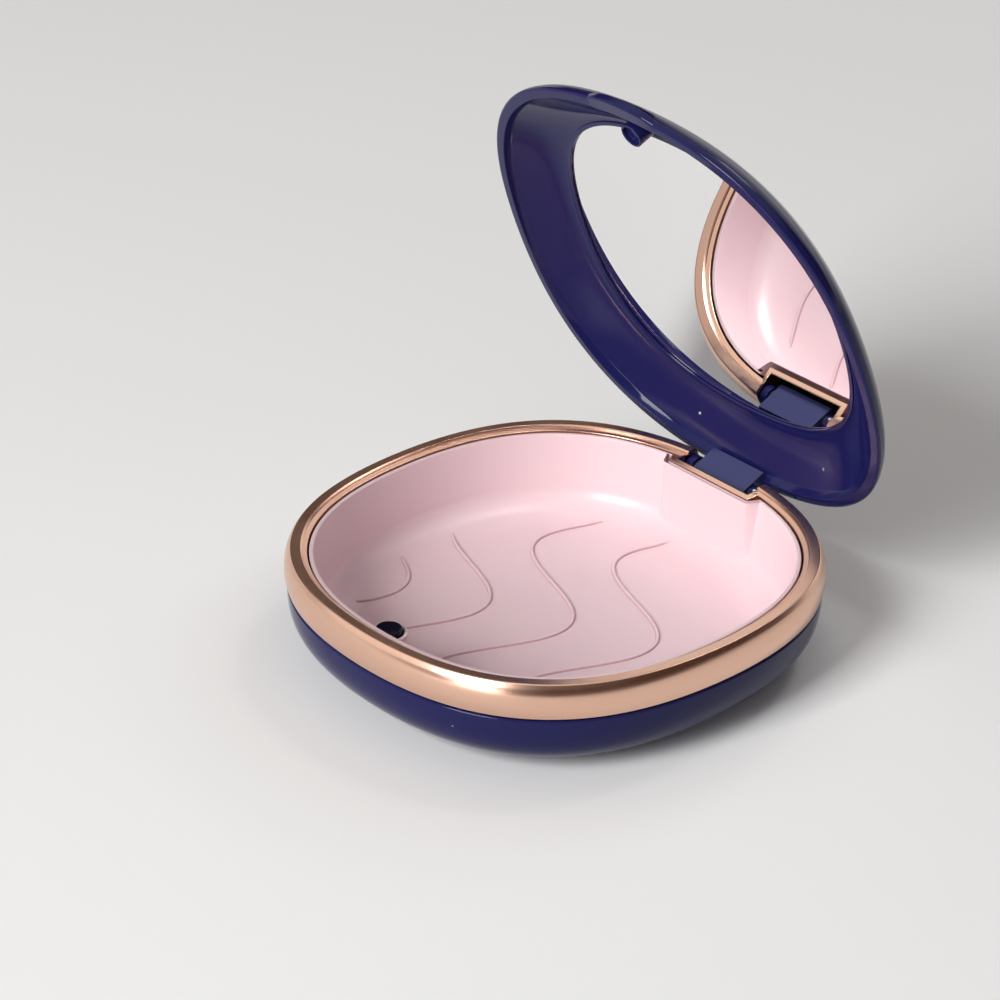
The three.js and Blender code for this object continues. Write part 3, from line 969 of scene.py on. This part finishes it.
def studio_world():
    """A plain pale room: even light, pale where the camera looks.

    What reflects it sees painted reflections that light nothing: pale near the horizon,
    dark above that, and pale overhead, behind and at the left.
    """
    world = bpy.data.worlds.new("studio")
    bpy.context.scene.world = world
    world.use_nodes = True
    tree = world.node_tree
    link = tree.links.new
    even = tree.nodes["Background"]
    even.inputs["Color"].default_value = (1, 0.94, 0.91, 1)
    even.inputs["Strength"].default_value = 0.2
    rays = node(tree, "ShaderNodeLightPath", (-600, 500))
    seen = node(tree, "ShaderNodeBackground", (0, -200))
    seen.inputs["Color"].default_value = (0.76, 0.745, 0.735, 1)
    mirrored = node(tree, "ShaderNodeBackground", (0, -500))

    way = node(tree, "ShaderNodeTexCoord", (-1200, -500))
    side = node(tree, "ShaderNodeVectorMath", (-900, -300), operation="DOT_PRODUCT")
    side.inputs[1].default_value = (-0.86, 0.5, 0)
    link(way.outputs["Generated"], side.inputs[0])
    split = node(tree, "ShaderNodeSeparateXYZ", (-900, -600))
    link(way.outputs["Generated"], split.inputs["Vector"])
    height = node(tree, "ShaderNodeMath", (-700, -400), operation="MULTIPLY_ADD")
    height.inputs[1].default_value = -0.14
    link(side.outputs["Value"], height.inputs[0])
    link(split.outputs["Z"], height.inputs[2])
    # Painted reflection: a dark brown room above the horizon, seen only in reflections
    dark_above_horizon = node(tree, "ShaderNodeMapRange", (-500, -400), interpolation_type="SMOOTHSTEP")
    dark_above_horizon.inputs["From Min"].default_value = 0
    dark_above_horizon.inputs["From Max"].default_value = 0.14
    link(height.outputs[0], dark_above_horizon.inputs["Value"])
    room = node(tree, "ShaderNodeMix", (-250, -500), data_type="RGBA")
    room.inputs["A"].default_value = (0.76, 0.74, 0.73, 1)
    room.inputs["B"].default_value = (0.065, 0.036, 0.028, 1)
    link(dark_above_horizon.outputs["Result"], room.inputs["Factor"])
    # Painted reflection: a pale patch overhead, seen only in reflections
    overhead = node(tree, "ShaderNodeMapRange", (-500, -700), interpolation_type="SMOOTHSTEP")
    overhead.inputs["From Min"].default_value = 0.54
    overhead.inputs["From Max"].default_value = 0.8
    link(split.outputs["Z"], overhead.inputs["Value"])
    reflected_ceiling = node(tree, "ShaderNodeMix", (-50, -600), data_type="RGBA")
    reflected_ceiling.inputs["B"].default_value = (0.8, 0.78, 0.77, 1)
    link(overhead.outputs["Result"], reflected_ceiling.inputs["Factor"])
    link(room.outputs["Result"], reflected_ceiling.inputs["A"])
    last = reflected_ceiling
    # Painted reflections: two bright patches that only reflecting surfaces see; they light nothing
    reflected_patches = (((-0.2, 0.9, 0.38), 0.86), ((-0.6, -0.65, 0.47), 0.88))
    for i, (middle, start) in enumerate(reflected_patches):
        row = -950 - 300 * i
        near = node(tree, "ShaderNodeVectorMath", (-500, row), operation="DOT_PRODUCT")
        near.inputs[1].default_value = middle
        link(way.outputs["Generated"], near.inputs[0])
        span = node(tree, "ShaderNodeMapRange", (-300, row), interpolation_type="SMOOTHSTEP")
        span.inputs["From Min"].default_value = start
        span.inputs["From Max"].default_value = 0.95
        link(near.outputs["Value"], span.inputs["Value"])
        reflected_patch = node(tree, "ShaderNodeMix", (-50, row), data_type="RGBA")
        reflected_patch.inputs["B"].default_value = (1, 0.97, 0.94, 1)
        link(span.outputs["Result"], reflected_patch.inputs["Factor"])
        link(last.outputs["Result"], reflected_patch.inputs["A"])
        last = reflected_patch
    link(last.outputs["Result"], mirrored.inputs["Color"])

    first = node(tree, "ShaderNodeMixShader", (250, 0))
    link(rays.outputs["Is Glossy Ray"], first.inputs["Fac"])
    link(even.outputs["Background"], first.inputs[1])
    link(mirrored.outputs["Background"], first.inputs[2])
    second = node(tree, "ShaderNodeMixShader", (450, 0))
    link(rays.outputs["Is Camera Ray"], second.inputs["Fac"])
    link(first.outputs["Shader"], second.inputs[1])
    link(seen.outputs["Background"], second.inputs[2])
    link(second.outputs["Shader"], tree.nodes["World Output"].inputs["Surface"])


studio_world()


def lamp(name, place, target, size, power, color=(1, 1, 1)):
    """A soft area lamp that faces a point."""
    bpy.ops.object.light_add(type="AREA", location=place)
    made = bpy.context.object
    made.name = name
    made.data.shape = "RECTANGLE"
    made.data.size, made.data.size_y = size
    made.data.energy = power
    made.data.color = color
    aim = (Vector(target) - Vector(place)).to_track_quat("-Z", "Y")
    made.rotation_euler = aim.to_euler()
    return made


lamp("key", (0.1, -1.34, 0.84), (0, 0, 0.02), (0.6, 0.8), 24, (0.985, 0.995, 1))
lamp("overhead", (0.0, 0.7, 1.0), (0, 0, 0.03), (0.35, 0.3), 2)
lamp("low_strip", (0.12, -0.52, 0.065), (0.02, -0.03, 0.015), (0.2, 0.115), 0.3)

CAMERA_PLACE = Vector((368.195, -345.662, 309.847)) * mm
CAMERA_HEADING = math.radians(47.844)
CAMERA_TILT = math.radians(90 - 29.286)
CAMERA_ROLL = math.radians(0.629)
CAMERA_LENS = 126.597

bpy.ops.object.camera_add()
camera = bpy.context.object
camera.name = "camera"
camera.data.sensor_width = 36
camera.data.lens = CAMERA_LENS
turn = (
    Matrix.Rotation(CAMERA_HEADING, 4, "Z")
    @ Matrix.Rotation(CAMERA_TILT, 4, "X")
    @ Matrix.Rotation(CAMERA_ROLL, 4, "Z")
)
camera.matrix_world = Matrix.Translation(CAMERA_PLACE) @ turn
camera.data.clip_start = 0.01
camera.data.clip_end = 20
bpy.context.scene.camera = camera
bpy.context.scene.view_settings.view_transform = "Standard"
